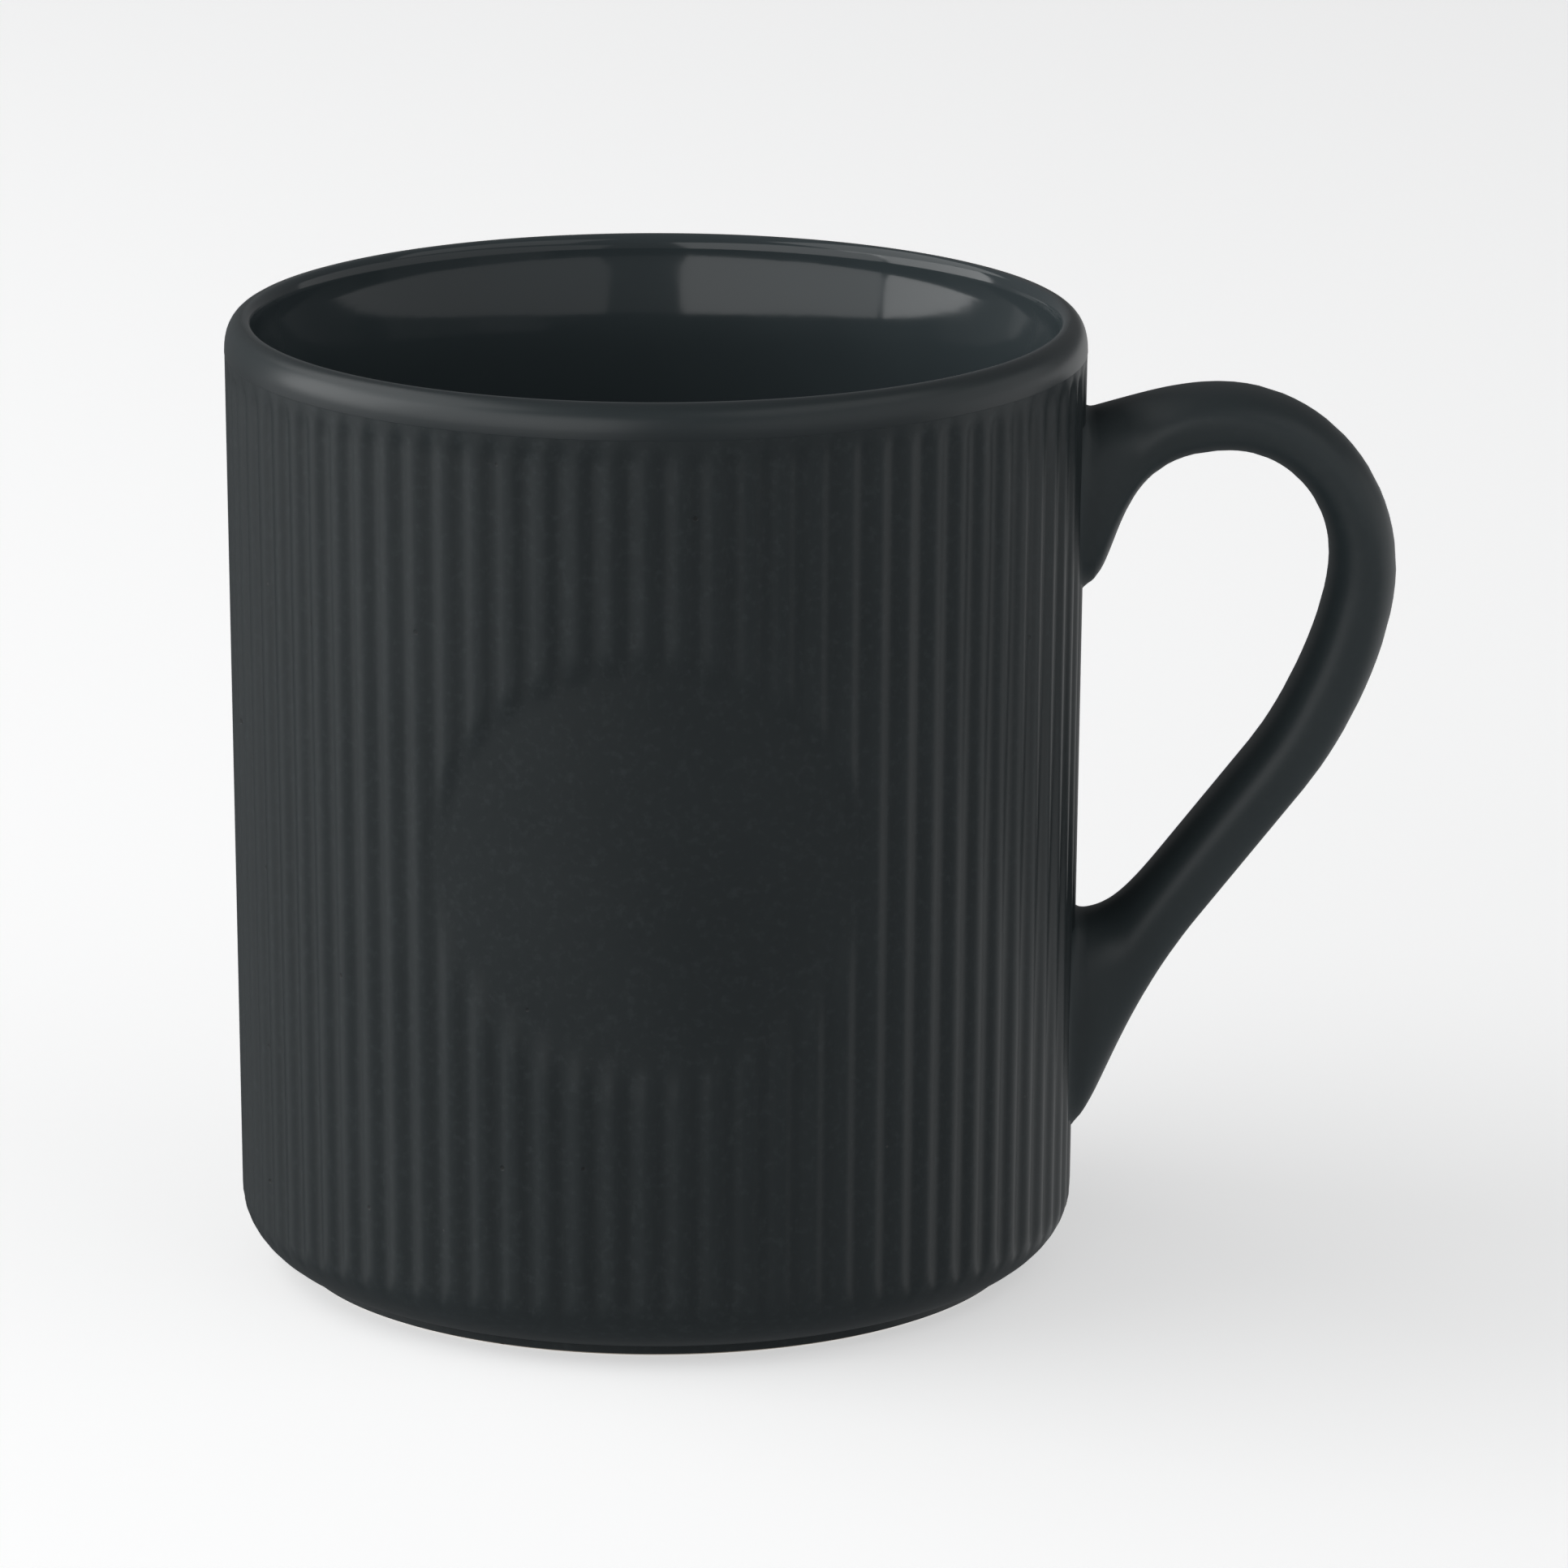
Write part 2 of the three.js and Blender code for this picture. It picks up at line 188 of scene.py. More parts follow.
def inside_line(depth, steps):
    """Down the inside wall, which thickens under the lip, round the corner and to the axis."""
    lip_z = CUP_HEIGHT - LIP_INNER_RISE
    start = (RIM_RADIUS - LIP_WALL + depth, lip_z - 0.4)
    wall = (wall_radius(WALL_TOP) - WALL + depth, WALL_TOP)
    first = (start[0] - LIP_LEAN_LENGTH * math.tan(LIP_LEAN), start[1] - LIP_LEAN_LENGTH)
    second = (wall[0], WALL_TOP + 4.2)
    taper = bezier(start, first, second, wall, steps)
    low_z = FLOOR + INSIDE_CORNER
    centre = (wall_radius(low_z) - WALL - INSIDE_CORNER, low_z)
    radius = INSIDE_CORNER + depth
    heights = level_steps(low_z, WALL_TOP, 12)[-2:0:-1]
    straight = [(wall_radius(z) - WALL + depth, z) for z in heights]
    corner = arc(centre, radius, radius, 0, -math.pi / 2, steps)
    return taper + straight + corner + [(centre[0] / 2, FLOOR - depth), (0, FLOOR - depth)]


def bezier(a, b, c, d, steps):
    """A curve from a to d that sets out towards b and comes in from c."""
    a, b, c, d = (np.array(p, float) for p in (a, b, c, d))
    t = np.linspace(0, 1, steps + 1)[:, None]
    s = 1 - t
    return [tuple(p) for p in s**3 * a + 3 * s * s * t * b + 3 * s * t * t * c + t**3 * d]


# ---- Making meshes ----


def start_piece(name):
    """The object that the last operator added, named and in edit mode, its place at the origin."""
    piece = bpy.context.object
    piece.name = name
    piece.data.name = name
    bpy.ops.object.mode_set(mode="EDIT")
    return piece


def close_piece():
    bpy.ops.mesh.select_all(action="SELECT")
    bpy.ops.mesh.remove_doubles(threshold=SAME_PLACE)
    bpy.ops.mesh.normals_make_consistent(inside=False)
    bpy.ops.object.mode_set(mode="OBJECT")


def shade(piece, sharp_from=40):
    bpy.ops.object.select_all(action="DESELECT")
    piece.select_set(True)
    bpy.context.view_layer.objects.active = piece
    bpy.ops.object.shade_smooth_by_angle(angle=math.radians(sharp_from))


def spun(name, outline, sides):
    """A closed outline drawn point by point, then turned about the cup's axis."""
    points = [Vector((0, -radius * MM, z * MM)) for radius, z in outline]
    bpy.ops.object.select_all(action="DESELECT")
    bpy.ops.mesh.primitive_plane_add(size=MM)
    piece = start_piece(name)
    bpy.ops.mesh.merge(type="CENTER")
    bpy.ops.transform.translate(value=points[0])
    for here, there in zip(points, points[1:]):
        bpy.ops.mesh.extrude_region_move(TRANSFORM_OT_translate={"value": there - here})
    bpy.ops.object.mode_set(mode="OBJECT")
    turn_round = piece.modifiers.new("turn", "SCREW")
    turn_round.steps = turn_round.render_steps = sides
    turn_round.use_merge_vertices = True
    turn_round.merge_threshold = SAME_PLACE
    bpy.ops.object.modifier_apply(modifier=turn_round.name)
    piece.location.x = AXIS_X
    bpy.ops.object.transform_apply(location=True, rotation=False, scale=False)
    bpy.ops.object.mode_set(mode="EDIT")
    close_piece()
    return piece


def tube(name, rings):
    """A closed tube: a cylinder cut into rings, each ring then laid on its own loop of points."""
    count, sides = rings.shape[:2]
    bpy.ops.object.select_all(action="DESELECT")
    bpy.ops.mesh.primitive_cylinder_add(vertices=sides, radius=1, depth=1, end_fill_type="NGON")
    piece = start_piece(name)
    bpy.ops.mesh.select_mode(type="EDGE")
    bpy.ops.mesh.select_all(action="DESELECT")
    bpy.ops.object.mode_set(mode="OBJECT")
    for edge in piece.data.edges:
        low, high = (piece.data.vertices[i].co.z for i in edge.vertices)
        edge.select = abs(low - high) > 0.5
    bpy.ops.object.mode_set(mode="EDIT")
    bpy.ops.mesh.subdivide(number_cuts=count - 2)
    bpy.ops.object.mode_set(mode="OBJECT")
    for vertex in piece.data.vertices:
        ring = round((vertex.co.z + 0.5) * (count - 1))
        side = round(math.atan2(vertex.co.y, vertex.co.x) / (2 * math.pi) * sides) % sides
        x, y, z = rings[ring, side]
        vertex.co = (AXIS_X + x * MM, y * MM, z * MM)
    bpy.ops.object.mode_set(mode="EDIT")
    bpy.ops.mesh.select_mode(type="VERT")
    close_piece()
    return piece


# ---- The flutes and the round field ----


def smooth_step(value):
    value = np.clip(value, 0, 1)
    return value * value * (3 - 2 * value)


def relief(angle, z):
    """Depth of the surface under the flutes' crests, at an angle from the front. The flutes
    go all round, and the field is on the front only."""
    pitch = 2 * math.pi / FLUTES
    sideways = (angle / pitch - np.floor(angle / pitch)) * 2 - 1
    upwards = np.clip((z - (SHOULDER_Z - FLUTE_END)) / FLUTE_END, 0, None)
    off = np.clip(np.hypot(sideways, upwards), 0, 1)
    groove = FLUTE_DEPTH * (1 + np.cos(math.pi * off)) / 2
    across = wall_radius(z) * np.sin(angle)
    below = smooth_step((FIELD_CENTRE_Z - z) / FIELD_RADIUS)
    edge = FIELD_EDGE + FIELD_POOL * below
    inside = FIELD_RADIUS + edge / 2 - np.hypot(across, z - FIELD_CENTRE_Z)
    field = smooth_step(inside / edge) * (np.cos(angle) > 0)
    return groove + (FIELD_DEPTH - groove) * field


def press_flutes(piece, front, depths):
    """Draws the outside of a spun piece in to the relief. Vertices nearer to the line at the
    second of the two depths belong to the coat's back and keep that depth."""
    count = len(piece.data.vertices)
    flat = np.empty(count * 3)
    piece.data.vertices.foreach_get("co", flat)
    place = flat.reshape(-1, 3) / MM
    x, y, z = place[:, 0] - AXIS_X / MM, place[:, 1], place[:, 2]
    radius = np.hypot(x, y)
    surface = np.interp(z, [p[1] for p in front], [p[0] for p in front])
    near = np.abs(surface - depths[0] - radius) <= np.abs(surface - depths[1] - radius)
    depth = np.where(near, depths[0], depths[1])
    fluted = wall_radius(z) - depth - relief(np.arctan2(x, -y), z)
    soft = 0.12  # mm over which a flute runs out where the corner curves away under it
    blend = np.clip(0.5 + 0.5 * (radius - fluted) / soft, 0, 1)
    drawn = radius * (1 - blend) + fluted * blend - soft * blend * (1 - blend)
    outer = radius > surface - depths[1] - GLAZE / 2
    scale = np.where(outer, drawn / np.maximum(radius, 1), 1)
    place[:, 0] = x * scale + AXIS_X / MM
    place[:, 1] = y * scale
    piece.data.vertices.foreach_set("co", (place * MM).ravel())
    piece.data.update()


# ---- The handle's strap ----


def slid(point, angle, distance):
    """A point moved off along an angle from the level."""
    return (point[0] + distance * math.cos(angle), point[1] + distance * math.sin(angle))


def moved(point, out, up):
    return (point[0] + out, point[1] + up)


def quarter(start, end, steps):
    """A quarter of an ellipse that leaves along the level and ends upright."""
    elliptic = 0.5523
    first = (start[0] + elliptic * (end[0] - start[0]), start[1])
    second = (end[0], end[1] + elliptic * (start[1] - end[1]))
    return bezier(start, first, second, end, steps)


def contours(steps):
    """The strap's outer and inner outlines in the plane of the loop, from the upper root. Each
    stretch is a bezier, with its two middle points placed from its ends."""
    sink = 0.2
    root_top = (wall_radius(UPPER_ROOT_TOP) - sink, UPPER_ROOT_TOP)
    root_end = (wall_radius(UPPER_ROOT_END) - sink, UPPER_ROOT_END)
    foot_top = (wall_radius(LOWER_ROOT_TOP) - sink, LOWER_ROOT_TOP)
    foot_end = (wall_radius(HANDLE_FOOT) - sink, HANDLE_FOOT)

    crown = (RIM_RADIUS + HANDLE_CROWN_X, CROWN_Z)
    inner_crown = moved(crown, 1, -CROWN_THICKNESS)
    belly = (HANDLE_OUT, CROWN_Z - HANDLE_BELLY_DROP)
    inner_belly = moved(belly, -BELLY_THICKNESS, 1.3)

    down = ARM_ANGLE + math.pi
    fall = belly[1] - foot_end[1]
    length = (ARM_END - ARM_START) * fall / math.sin(ARM_ANGLE)
    arm_top = moved(belly, -ARM_INSET, -ARM_START * fall)
    arm_end = slid(arm_top, down, length)
    inner_arm_top = slid(arm_top, ARM_ANGLE + math.pi / 2, ARM_THICKNESS)
    inner_arm_end = slid(inner_arm_top, down, length - 2.5)

    outer = [
        bezier(root_top, moved(root_top, 5.1, 1.5), moved(crown, -4.5, 0), crown, steps[0]),
        quarter(crown, belly, steps[1]),
        bezier(belly, moved(belly, 0, -7.2), slid(arm_top, ARM_ANGLE, 6.6), arm_top, steps[2]),
        bezier(arm_top, slid(arm_top, down, 5), slid(arm_end, ARM_ANGLE, 5), arm_end, steps[3]),
        bezier(arm_end, slid(arm_end, down, 13), moved(foot_end, 2.9, 2.2), foot_end, steps[4]),
    ]
    throat = moved(root_end, 4.5, 1.5)
    straight = (slid(inner_arm_top, down, 5), slid(inner_arm_end, ARM_ANGLE, 5))
    flare = (slid(inner_arm_end, down, 6), moved(foot_top, 2.8, 0))
    bend = (moved(inner_belly, 0, -5.6), slid(inner_arm_top, ARM_ANGLE, 5.4))
    inner = [
        bezier(root_end, throat, moved(inner_crown, -12.6, 0), inner_crown, steps[0]),
        quarter(inner_crown, inner_belly, steps[1]),
        bezier(inner_belly, *bend, inner_arm_top, steps[2]),
        bezier(inner_arm_top, *straight, inner_arm_end, steps[3]),
        bezier(inner_arm_end, *flare, foot_top, steps[4]),
    ]
    joined = []
    for side in (outer, inner):
        line = side[0][:1] + [p for stretch in side for p in stretch[1:]]
        joined.append(np.array(line))
    return joined


def strap_rings(depth):
    """Loops of points along the strap, its surface at a depth under the finished one."""
    outer, inner = contours(STRAP_STEPS)
    middle = (outer + inner) / 2
    chord = (outer - inner) / 2
    near = np.clip(1 - (middle[:, 0] - wall_radius(middle[:, 1])) / ROOT_BLEND, 0, 1)
    width = (HANDLE_WIDTH + smooth_step(near) * (ROOT_WIDTH - HANDLE_WIDTH)) / 2
    run = np.array([[-INTO_WALL, 0]])
    middle = np.concatenate([middle[:1] + run, middle, middle[-1:] + run])
    chord = np.concatenate([chord[:1], chord, chord[-1:]])
    width = np.concatenate([width[:1], width, width[-1:]])
    turns = np.linspace(0, 2 * math.pi, STRAP_SIDES, endpoint=False)
    power = 2 / SECTION_POWER
    along = np.sign(np.cos(turns)) * np.abs(np.cos(turns)) ** power
    across = np.sign(np.sin(turns)) * np.abs(np.sin(turns)) ** power
    share = along[None] * (1 - depth / np.linalg.norm(chord, axis=1))[:, None]
    x = middle[:, :1] + chord[:, :1] * share
    z = middle[:, 1:] + chord[:, 1:] * share
    y = -across[None] * (width - depth)[:, None]
    return np.stack([x, y, z], axis=2)


def height_off_wall(points):
    return np.hypot(points[..., 0], points[..., 1]) - wall_radius(points[..., 2])


def crossing(line, height):
    """Where a line that starts inside the wall first comes to a height over it."""
    off = height_off_wall(line)
    after = int(np.argmax(off > height))
    share = (height - off[after - 1]) / (off[after] - off[after - 1])
    return line[after - 1] + share * (line[after] - line[after - 1]), after


def on_wall(arcs, z, height):
    """Points at distances round the wall from the handle's middle, at a height over it."""
    angle = arcs / wall_radius(z)
    radius = wall_radius(z) + height
    return np.stack([radius * np.cos(angle), radius * np.sin(angle), z], axis=-1)


def root_rings(rings, reach, sink, steps):
    """Loops from the wall up a hollow fillet onto the strap. The rings start inside the wall.
    Also returns the first ring that lies wholly past the fillet."""
    turns = np.linspace(0, 2 * math.pi, STRAP_SIDES, endpoint=False)
    sides = SLIP_REACH_ENDS + (SLIP_REACH - SLIP_REACH_ENDS) * np.abs(np.sin(turns)) + reach
    foot = np.array([crossing(rings[:, j], 0)[0] for j in range(STRAP_SIDES)])
    found = [crossing(rings[:, j], sides[j]) for j in range(STRAP_SIDES)]
    top = np.array([point for point, _ in found])
    clear = max(after for _, after in found)

    arcs = np.arctan2(foot[:, 1], foot[:, 0]) * wall_radius(foot[:, 2])
    level = foot[:, 2]
    run_arcs = np.roll(arcs, -1) - np.roll(arcs, 1)
    run_level = np.roll(level, -1) - np.roll(level, 1)
    length = np.hypot(run_arcs, run_level)
    out_arcs, out_level = run_level / length, -run_arcs / length
    away = np.sign(np.sum(out_arcs * (arcs - arcs.mean()) + out_level * (level - level.mean())))
    far_arcs = arcs + away * out_arcs * sides
    far_level = level + away * out_level * sides
    wall_edge = on_wall(far_arcs, far_level, -sink)
    loops = [on_wall(far_arcs, far_level, -sink - 0.8), wall_edge]
    for t in np.linspace(0, 1, steps + 1)[1:]:
        s = 1 - t
        loops.append(s * s * wall_edge + 2 * s * t * foot + t * t * top)
    return loops, clear


def strap_lines(depth):
    """The strap's loops from each of its roots to its middle."""
    rings = strap_rings(depth)
    middle = len(rings) // 2
    return rings[: middle + 1], rings[middle:][::-1]


def slide_past(rings, top, clear):
    """Rings between the fillet's top edge and the first clear ring, on the strap's surface."""
    loops = []
    for share in (0.25, 0.5, 0.75):
        loop = []
        for j in range(STRAP_SIDES):
            start = crossing_index(rings[:, j], top[j])
            path = np.concatenate([top[j : j + 1], rings[start : clear + 1, j]])
            steps = np.linalg.norm(np.diff(path, axis=0), axis=1)
            reached = np.concatenate([[0], np.cumsum(steps)])
            goal = share * reached[-1]
            loop.append([np.interp(goal, reached, path[:, axis]) for axis in range(3)])
        loops.append(np.array(loop))
    return loops


def crossing_index(line, point):
    """The first ring of a line that lies further out than a point on it."""
    return int(np.argmax(height_off_wall(line) > height_off_wall(point) + 1e-6))


def strap_piece(name, ends):
    """The strap's tube from its upper end to the middle and on to its lower end."""
    upper, lower = ends
    between = list(upper[1]) + list(lower[1])[::-1][1:]
    piece = tube(name, np.array(upper[0] + between + lower[0][::-1]))
    shade(piece)
    return piece


# ---- The mug's pieces ----


def outside_coat():
    front = outside_line(0, BARE_FOOT, 0.85, 10)
    back = outside_line(GLAZE, BARE_FOOT, 2.8, 5)
    lap = (wall_radius(SHOULDER_Z) - GLAZE / 2, SHOULDER_Z + 0.25)
    outline = front + [lap] + back[::-1] + front[:1]
    piece = spun("outside_glaze_coat", outline, 10 * FLUTES)
    press_flutes(piece, front, (0, GLAZE))
    shade(piece, 30)
    return piece


def inside_coat():
    front = lip_line(0, 10) + inside_line(0, 12)
    back = lip_line(GLAZE, 6) + inside_line(GLAZE, 8)
    lap = (wall_radius(SHOULDER_Z) - 0.25, SHOULDER_Z - 0.3)
    piece = spun("inside_glaze_coat", front[::-1] + [lap] + back, 256)
    shade(piece, 30)
    return piece


def underside_coat():
    inner = FOOT_RADIUS - FOOT_WIDTH - FOOT_SLOPE
    low = BASE_RECESS
    back = BASE_RECESS + GLAZE
    meniscus = arc((inner - 0.75, low - 0.6), 0.9, 0.6, math.pi / 2, 0, 5)
    outline = [(0, low)] + meniscus + [(inner + 0.1, back), (0, back)]
    piece = spun("underside_glaze_coat", outline, 192)
    shade(piece)
    return piece


def clay_cup():
    front = outside_line(0, 0, 1.5, 8)
    outside = outside_line(CLAY, 0.25, 1.5, 8)
    inner = FOOT_RADIUS - FOOT_WIDTH
    recess = BASE_RECESS + CLAY
    foot = [(0, recess), (inner - FOOT_SLOPE, recess), (inner - 0.25, 0.3), (inner + 0.1, 0)]
    foot.append((FOOT_RADIUS - CLAY - 0.25, 0))
    inside = lip_line(CLAY, 5) + inside_line(CLAY, 6)
    piece = spun("clay_cup", foot + outside + inside, 5 * FLUTES)
    press_flutes(piece, front, (CLAY, CLAY))
    shade(piece)
    return piece


def handle_coat():
    ends = []
    for rings in strap_lines(0):
        loops, clear = root_rings(rings, 0, FLUTE_DEPTH + 0.1, 8)
        ends.append((loops + slide_past(rings, loops[-1], clear), rings[clear:]))
    return strap_piece("handle_glaze_coat", ends)


def clay_handle():
    ends = []
    for rings in strap_lines(CLAY):
        start = [crossing(rings[:, j], SEAM + CLEARANCE) for j in range(STRAP_SIDES)]
        top = np.array([point for point, _ in start])
        clear = max(after for _, after in start)
        ends.append(([top] + slide_past(rings, top, clear), rings[clear:]))
    return strap_piece("clay_handle", ends)


def slip_joint(name, root):
    """Slip under a root, 0 for the upper and 1 for the lower: a thin seam across it, and a bead
    pressed out all round."""
    core = strap_lines(CLAY + SLIP_GAP)[root]
    loops, _ = root_rings(strap_lines(GLAZE)[root], -GLAZE, FLUTE_DEPTH, 6)
    edge = height_off_wall(loops[-1])
    rim = np.array([crossing(core[:, j], edge[j])[0] for j in range(STRAP_SIDES)])
    seat = np.array([crossing(core[:, j], SEAM)[0] for j in range(STRAP_SIDES)])
    piece = tube(name, np.array(loops[1:] + [rim, seat]))
    shade(piece)
    return piece


# ---- Shader values as expressions ----


class Value:
    """A shader socket that takes part in ordinary arithmetic."""

    def __init__(self, finish, socket):
        self.finish = finish
        self.socket = socket

    def _maths(self, operation, first, second):
        inputs = {0: first, 1: second}
        return self.finish.add("ShaderNodeMath", {"operation": operation}, inputs)

    def __add__(self, other):
        return self._maths("ADD", self, other)

    __radd__ = __add__

    def __sub__(self, other):
        return self._maths("SUBTRACT", self, other)

    def __rsub__(self, other):
        return self._maths("SUBTRACT", other, self)

    def __mul__(self, other):
        return self._maths("MULTIPLY", self, other)

    __rmul__ = __mul__

    def __truediv__(self, other):
        return self._maths("DIVIDE", self, other)

    def __pow__(self, other):
        return self._maths("POWER", self, other)

    def clamped(self):
        return self.finish.add("ShaderNodeClamp", {}, {"Value": self})

    def over(self, edge, width):
        """0 under the edge and 1 over it, softened over a width."""
        return ((self - edge) / width + 0.5).clamped()


class Finish:
    """A material, or the surroundings, and the nodes that it is made of."""

    def __init__(self, name, world=False):
        kind = bpy.data.worlds if world else bpy.data.materials
        self.made = kind.new(name)
        self.made.use_nodes = True
        self.tree = self.made.node_tree
        self.tree.nodes.clear()

    def place(self):
        return self.add("ShaderNodeTexCoord", {}, {}, "Object")

    def add(self, kind, settings, inputs, output=0):
        """A node of one kind: its settings first, then values or links into its sockets."""
        node = self.tree.nodes.new(kind)
        for key, setting in settings.items():
            setattr(node, key, setting)
        for key, given in inputs.items():
            if isinstance(given, Value):
                self.tree.links.new(given.socket, node.inputs[key])
            else:
                node.inputs[key].default_value = given
        return Value(self, node.outputs[output]) if node.outputs else None

    def noise(self, size, detail=2, roughness=0.5):
        """Cloudy noise with lumps of about a size in millimetres."""
        inputs = {"Vector": self.place(), "Scale": 1 / (size * MM)}
        inputs |= {"Detail": detail, "Roughness": roughness}
        return self.add("ShaderNodeTexNoise", {}, inputs, "Fac")

    def dots(self, spacing, share, size):
        """Scattered round specks: their spacing in millimetres, the share of places that hold
        one, and their size as a share of the spacing."""
        inputs = {"Vector": self.place(), "Scale": 1 / (spacing * MM)}
        cells = self.add("ShaderNodeTexVoronoi", {}, inputs, "Distance")
        chance = self.add("ShaderNodeTexVoronoi", {}, inputs, "Color")
        pick = self.add("ShaderNodeSeparateColor", {}, {"Color": chance}, "Red")
        return (1 - cells.over(size, size / 2)) * pick.over(1 - share, 0.01)

    def mix(self, factor, first, second):
        inputs = {"Factor": factor, 6: first, 7: second}
        return self.add("ShaderNodeMix", {"data_type": "RGBA"}, inputs, 2)

    def bump(self, height, distance, under=None):
        """A surface raised by up to a distance in millimetres, over another bump if given."""
        inputs = {"Height": height, "Distance": distance * MM, "Strength": 1}
        if under:
            inputs["Normal"] = under
        return self.add("ShaderNodeBump", {}, inputs, "Normal")

    def surface(self, **sockets):
        """The shader itself; a socket is named as on the node, with _ for a space."""
        inputs = {key.replace("_", " "): given for key, given in sockets.items()}
        shader = self.add("ShaderNodeBsdfPrincipled", {}, inputs, "BSDF")
        self.add("ShaderNodeOutputMaterial", {}, {"Surface": shader})
        return self.made

    def off_axis(self):
        """Distance from the cup's axis, and height."""
        axes = self.add("ShaderNodeSeparateXYZ", {}, {"Vector": self.place()}, "X")
        x, y, z = (Value(self, axes.socket.node.outputs[axis]) for axis in "XYZ")
        x = x - AXIS_X
        return (x * x + y * y) ** 0.5, z

    def crest(self):
        """1 on the flutes' crests, falling to 0 in the grooves and on the field."""
        radius, z = self.off_axis()
        slope = (RIM_RADIUS - BASE_RADIUS) / (SHOULDER_Z - CORNER_Z)
        crest_radius = z * slope + (BASE_RADIUS - slope * CORNER_Z) * MM
        return (1 - (crest_radius - radius) / (FLUTE_DEPTH * MM)).clamped()


def colour(red, green, blue):
    return (red, green, blue, 1)


def satin_glaze(fluted):
    """On the fluted wall it breaks a little paler over the crests. Elsewhere, on the handle and
    under the base, it is painted paler all over, as painted light for light the handle lacks."""
    finish = Finish("satin_glaze_fluted" if fluted else "satin_glaze")
    cloud = finish.noise(14, 3)
    fine = finish.noise(0.8, 4, 0.6)
    if fluted:
        base = finish.mix(cloud, colour(0.0125, 0.018, 0.020), colour(0.0165, 0.023, 0.0255))
        base = finish.mix(finish.crest() * 0.2, base, colour(0.024, 0.032, 0.035))
    else:
        # Painted light: paler than the fluted wall's glaze, standing in for light that the handle
        # lacks.
        base = finish.mix(cloud, colour(0.026, 0.035, 0.038), colour(0.032, 0.043, 0.047))
    base = finish.mix(fine.over(0.62, 0.2) * 0.3, base, colour(0.038, 0.049, 0.053))
    pits = finish.dots(2.6, 0.05, 0.09)
    specks = finish.dots(1.9, 0.03, 0.07)
    base = finish.mix(pits * 0.7, base, colour(0.008, 0.009, 0.009))
    base = finish.mix(specks * 0.5, base, colour(0.075, 0.075, 0.072))
    roughness = 0.36 + 0.07 * cloud + 0.06 * fine
    peel = finish.bump(finish.noise(2.2, 2), 0.02)
    grain = finish.bump(finish.noise(0.25, 3, 0.6), 0.003, under=peel)
    normal = finish.bump(1 - pits, 0.03, under=grain)
    return finish.surface(Base_Color=base, Roughness=roughness, Normal=normal, IOR=1.5)


def gloss_glaze():
    """Gloss inside and over the lip's inner edge. From the lip's crown outwards it dulls to satin,
    along a slightly wavy edge, where it is painted paler up towards the crown, a painted
    highlight, and darkens down the shoulder."""
    finish = Finish("gloss_glaze")
    cloud = finish.noise(11, 2)
    radius, height = finish.off_axis()
    edge = (RIM_RADIUS - LIP_REACH + GLOSS_EDGE - 0.15 + 0.3 * finish.noise(4, 3)) * MM
    satin = radius.over(edge, 0.6 * MM) * height.over(SHOULDER_Z * MM - 0.001, 0.0005)
    base = finish.mix(cloud, colour(0.049, 0.063, 0.069), colour(0.057, 0.073, 0.079))
    # Painted highlight: the satin lip is painted paler up towards the crown, and darker down the
    # shoulder to meet the fluted wall.
    rise = height.over((SHOULDER_Z + 1.2) * MM, 2.4 * MM)
    lip = finish.mix(rise, colour(0.017, 0.023, 0.0255), colour(0.029, 0.038, 0.041))
    base = finish.mix(satin, base, lip)
    pits = finish.dots(4.5, 0.03, 0.05)
    base = finish.mix(pits * 0.8, base, colour(0.004, 0.004, 0.004))
    roughness = 0.07 + 0.05 * finish.noise(5, 3) + 0.22 * satin
    waves = finish.bump(finish.noise(9, 1), 0.05)
    peel = finish.bump(finish.noise(1.6, 2), 0.004, under=waves)
    return finish.surface(Base_Color=base, Roughness=roughness, Normal=peel, IOR=1.52)


def bare_clay(name, dark, light):
    finish = Finish(name)
    cloud = finish.noise(6, 4)
    base = finish.mix(cloud, dark, light)
    iron = finish.dots(1.2, 0.12, 0.16)
    base = finish.mix(iron * 0.8, base, colour(0.09, 0.055, 0.035))
    grit = finish.noise(0.35, 4, 0.7)
    normal = finish.bump(grit, 0.03)
    roughness = 0.8 + 0.12 * grit
    return finish.surface(Base_Color=base, Roughness=roughness, Normal=normal)


# ---- Putting the mug together ----


def give(piece, material, node):
    piece.data.materials.clear()
    piece.data.materials.append(material)
    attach(piece, "root")
    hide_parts(node)


# The paler copy of the satin glaze, for the handle and underside; its paleness is painted light.
satin = satin_glaze(False)
clay = bare_clay("bare_stoneware", colour(0.36, 0.32, 0.275), colour(0.47, 0.43, 0.375))
slip = bare_clay("fired_slip", colour(0.42, 0.38, 0.33), colour(0.52, 0.48, 0.43))

give(outside_coat(), satin_glaze(True), "outer_glaze")
give(inside_coat(), gloss_glaze(), "inner_glaze")
give(underside_coat(), satin, "underside_glaze")
give(handle_coat(), satin, "handle_glaze")
give(clay_cup(), clay, "cup_body")
give(clay_handle(), clay, "handle_core")
give(slip_joint("upper_slip_bead", 0), slip, "upper_slip_joint")
give(slip_joint("lower_slip_bead", 1), slip, "lower_slip_joint")


# ---- Floor, light and camera ----

PALE = 0.93
FLOOR_GLOW = 0.5  # seen by the camera
FLOOR_BOUNCE = 0.3  # lighting the mug from below
CAMERA_LENS = 212.3
CAMERA_DISTANCE = 0.9
CAMERA_AIM = 0.04703  # height on the cup's axis that the camera turns about
CAMERA_AROUND = math.radians(1.4)
CAMERA_ABOVE = math.radians(14.73)
CAMERA_ASIDE = math.radians(0.583)
CAMERA_ROLL = math.radians(0.184)


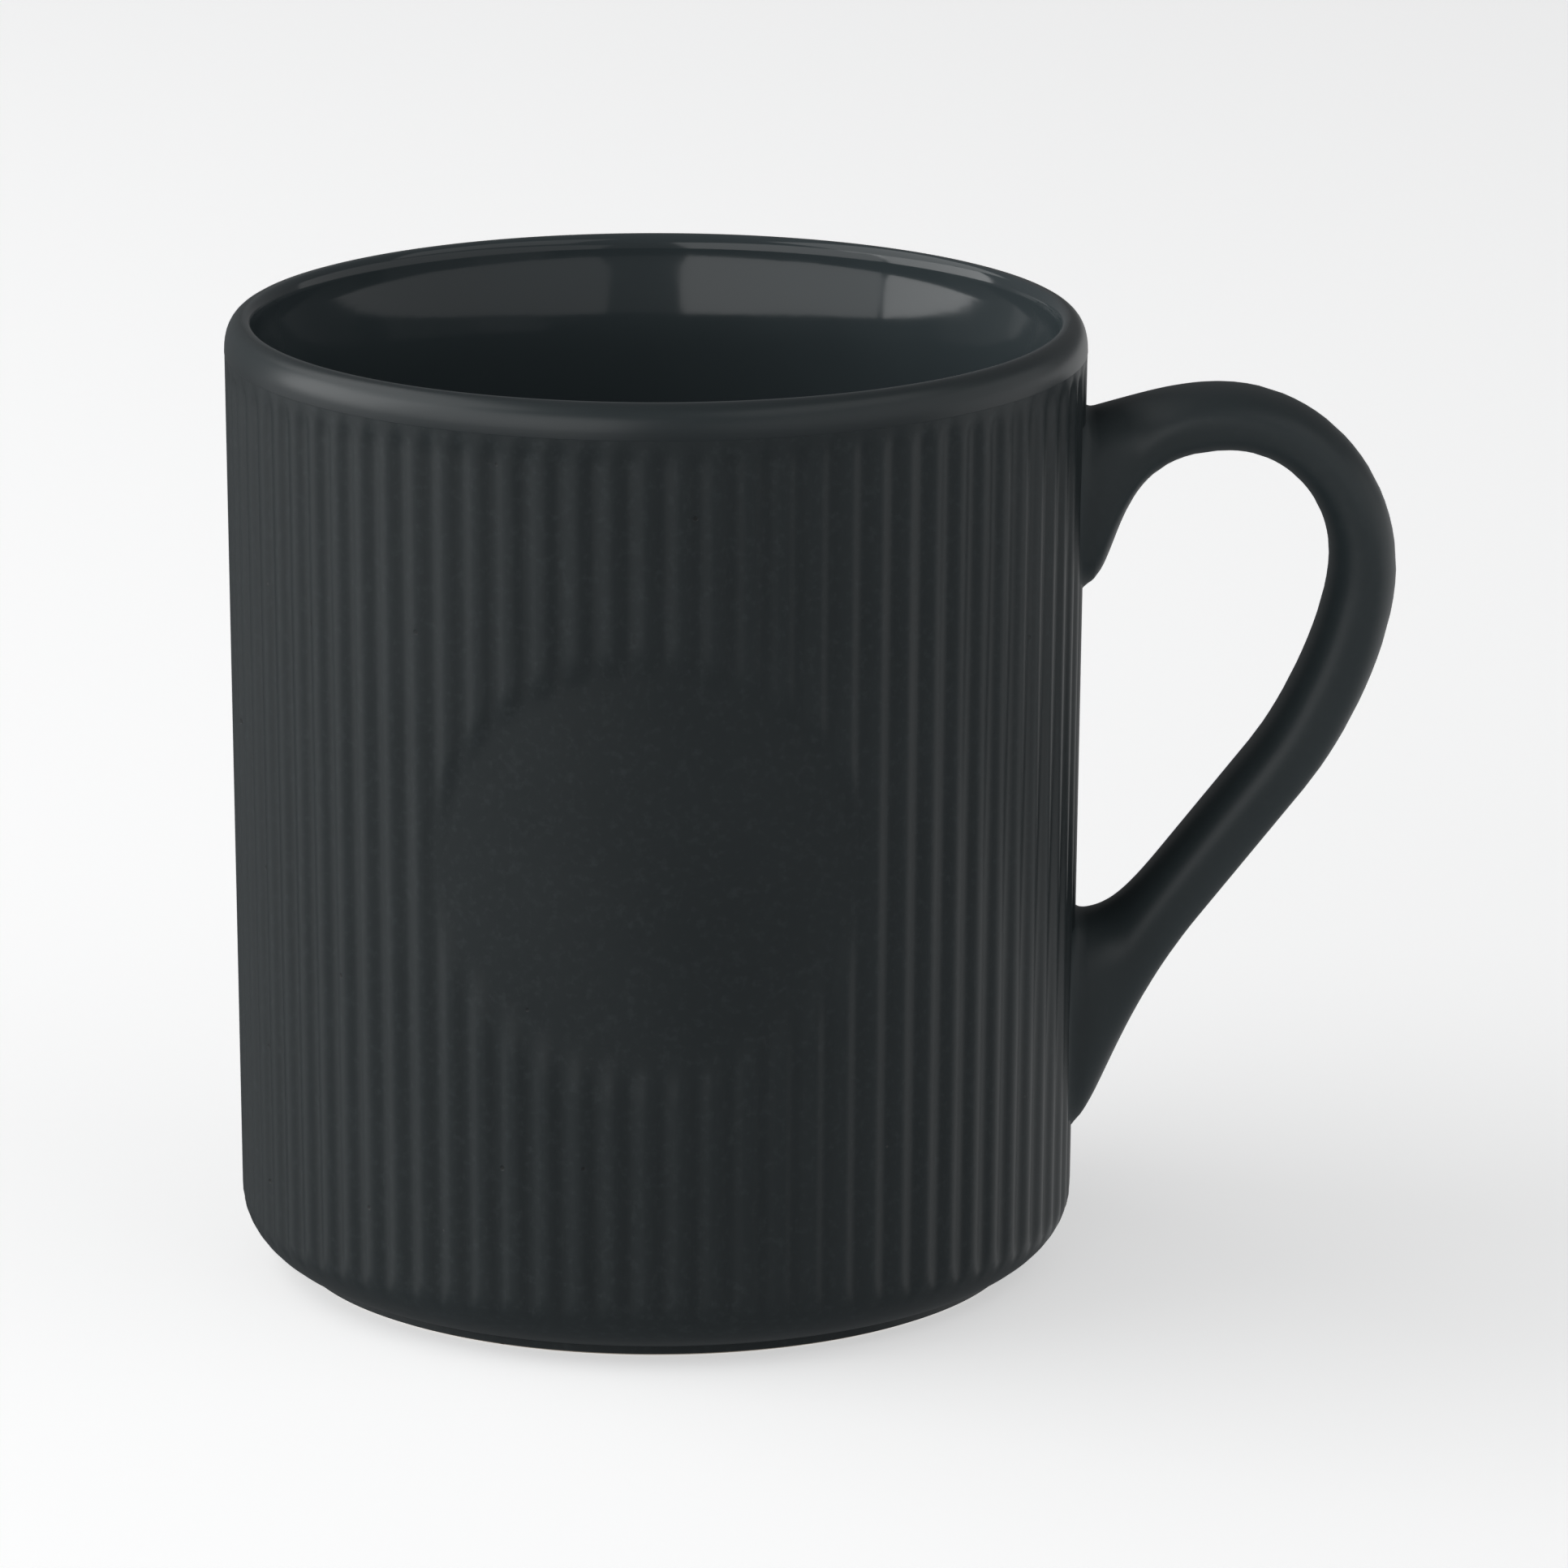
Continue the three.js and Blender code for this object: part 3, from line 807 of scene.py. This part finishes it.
def pale_floor():
    bpy.ops.object.select_all(action="DESELECT")
    bpy.ops.mesh.primitive_plane_add(size=12)
    floor = bpy.context.object
    floor.name = "studio_floor"
    finish = Finish("pale_floor")
    lit = finish.add("ShaderNodeBsdfDiffuse", {}, {"Color": colour(0.95, 0.95, 0.95)}, "BSDF")
    seen = finish.add("ShaderNodeLightPath", {}, {}, "Is Camera Ray")
    bounced = finish.add("ShaderNodeEmission", {}, {"Strength": FLOOR_BOUNCE})
    bright = finish.add("ShaderNodeEmission", {}, {"Strength": FLOOR_GLOW})
    glow = finish.add("ShaderNodeMixShader", {}, {0: seen, 1: bounced, 2: bright})
    both = finish.add("ShaderNodeAddShader", {}, {0: lit, 1: glow})
    finish.add("ShaderNodeOutputMaterial", {}, {"Surface": both})
    floor.data.materials.append(finish.made)
    floor.visible_glossy = False
    floor.visible_shadow = False


def softbox(name, azimuth, elevation, distance, width, height, radiance):
    """A rectangular light that faces the mug's middle. Its azimuth, in degrees, is to the left
    of the front as seen from the camera, and its sizes are in metres."""
    light = bpy.data.lights.new(name, "AREA")
    light.shape = "RECTANGLE"
    light.size = width
    light.size_y = height
    light.energy = radiance * math.pi * width * height
    lamp = bpy.data.objects.new(name, light)
    bpy.context.scene.collection.objects.link(lamp)
    a, e = math.radians(azimuth), math.radians(elevation)
    towards = Vector((-math.sin(a) * math.cos(e), -math.cos(a) * math.cos(e), math.sin(e)))
    centre = Vector((AXIS_X, 0, CUP_HEIGHT / 2 * MM))
    lamp.location = centre + towards * distance
    lamp.rotation_mode = "QUATERNION"
    lamp.rotation_quaternion = towards.to_track_quat("Z", "Y")


def studio_light():
    softbox("key_softbox", 38, 16, 1.3, 1.56, 0.85, 1.08)
    softbox("left_softbox", 92, 15, 1.3, 1.0, 0.7, 2.2)
    softbox("high_left_panel", 95, 48, 1.3, 1.6, 0.8, 1.1)
    softbox("high_right_panel", -60, 48, 1.3, 1.3, 0.6, 0.45)
    softbox("fill_panel", -72, 14, 1.2, 3.4, 0.7, 0.32)
    softbox("low_left_panel", 98, -15, 1.3, 1.4, 0.7, 0.3)
    softbox("low_right_panel", -128, -15, 1.3, 2.8, 0.7, 0.42)


def pale_surroundings():
    """Pale to the camera, and dim to everything else, as in a dark studio."""
    finish = Finish("studio", world=True)
    seen = finish.add("ShaderNodeLightPath", {}, {}, "Is Camera Ray")
    dim = finish.add("ShaderNodeBackground", {}, {"Color": colour(0.14, 0.142, 0.145)})
    pale = finish.add("ShaderNodeBackground", {}, {"Color": colour(PALE, PALE, PALE)})
    chosen = finish.add("ShaderNodeMixShader", {}, {0: seen, 1: dim, 2: pale})
    finish.add("ShaderNodeOutputWorld", {}, {"Surface": chosen})
    bpy.context.scene.world = finish.made


def camera():
    lens = bpy.data.cameras.new("camera")
    lens.sensor_width = 36
    lens.lens = CAMERA_LENS
    lens.clip_start = 0.05
    lens.clip_end = 30
    eye = bpy.data.objects.new("camera", lens)
    bpy.context.scene.collection.objects.link(eye)
    level = CAMERA_DISTANCE * math.cos(CAMERA_ABOVE)
    height = CAMERA_AIM + CAMERA_DISTANCE * math.sin(CAMERA_ABOVE)
    eye.location = (AXIS_X + level * math.tan(CAMERA_AROUND), -level, height)
    back = Vector((
        math.sin(CAMERA_ASIDE) * math.cos(CAMERA_ABOVE),
        -math.cos(CAMERA_ASIDE) * math.cos(CAMERA_ABOVE),
        math.sin(CAMERA_ABOVE),
    ))
    roll = Quaternion((0, 0, 1), CAMERA_ROLL)
    eye.rotation_mode = "QUATERNION"
    eye.rotation_quaternion = back.to_track_quat("Z", "Y") @ roll
    bpy.context.scene.camera = eye


pale_floor()
studio_light()
pale_surroundings()
camera()
bpy.context.scene.view_settings.view_transform = "Standard"
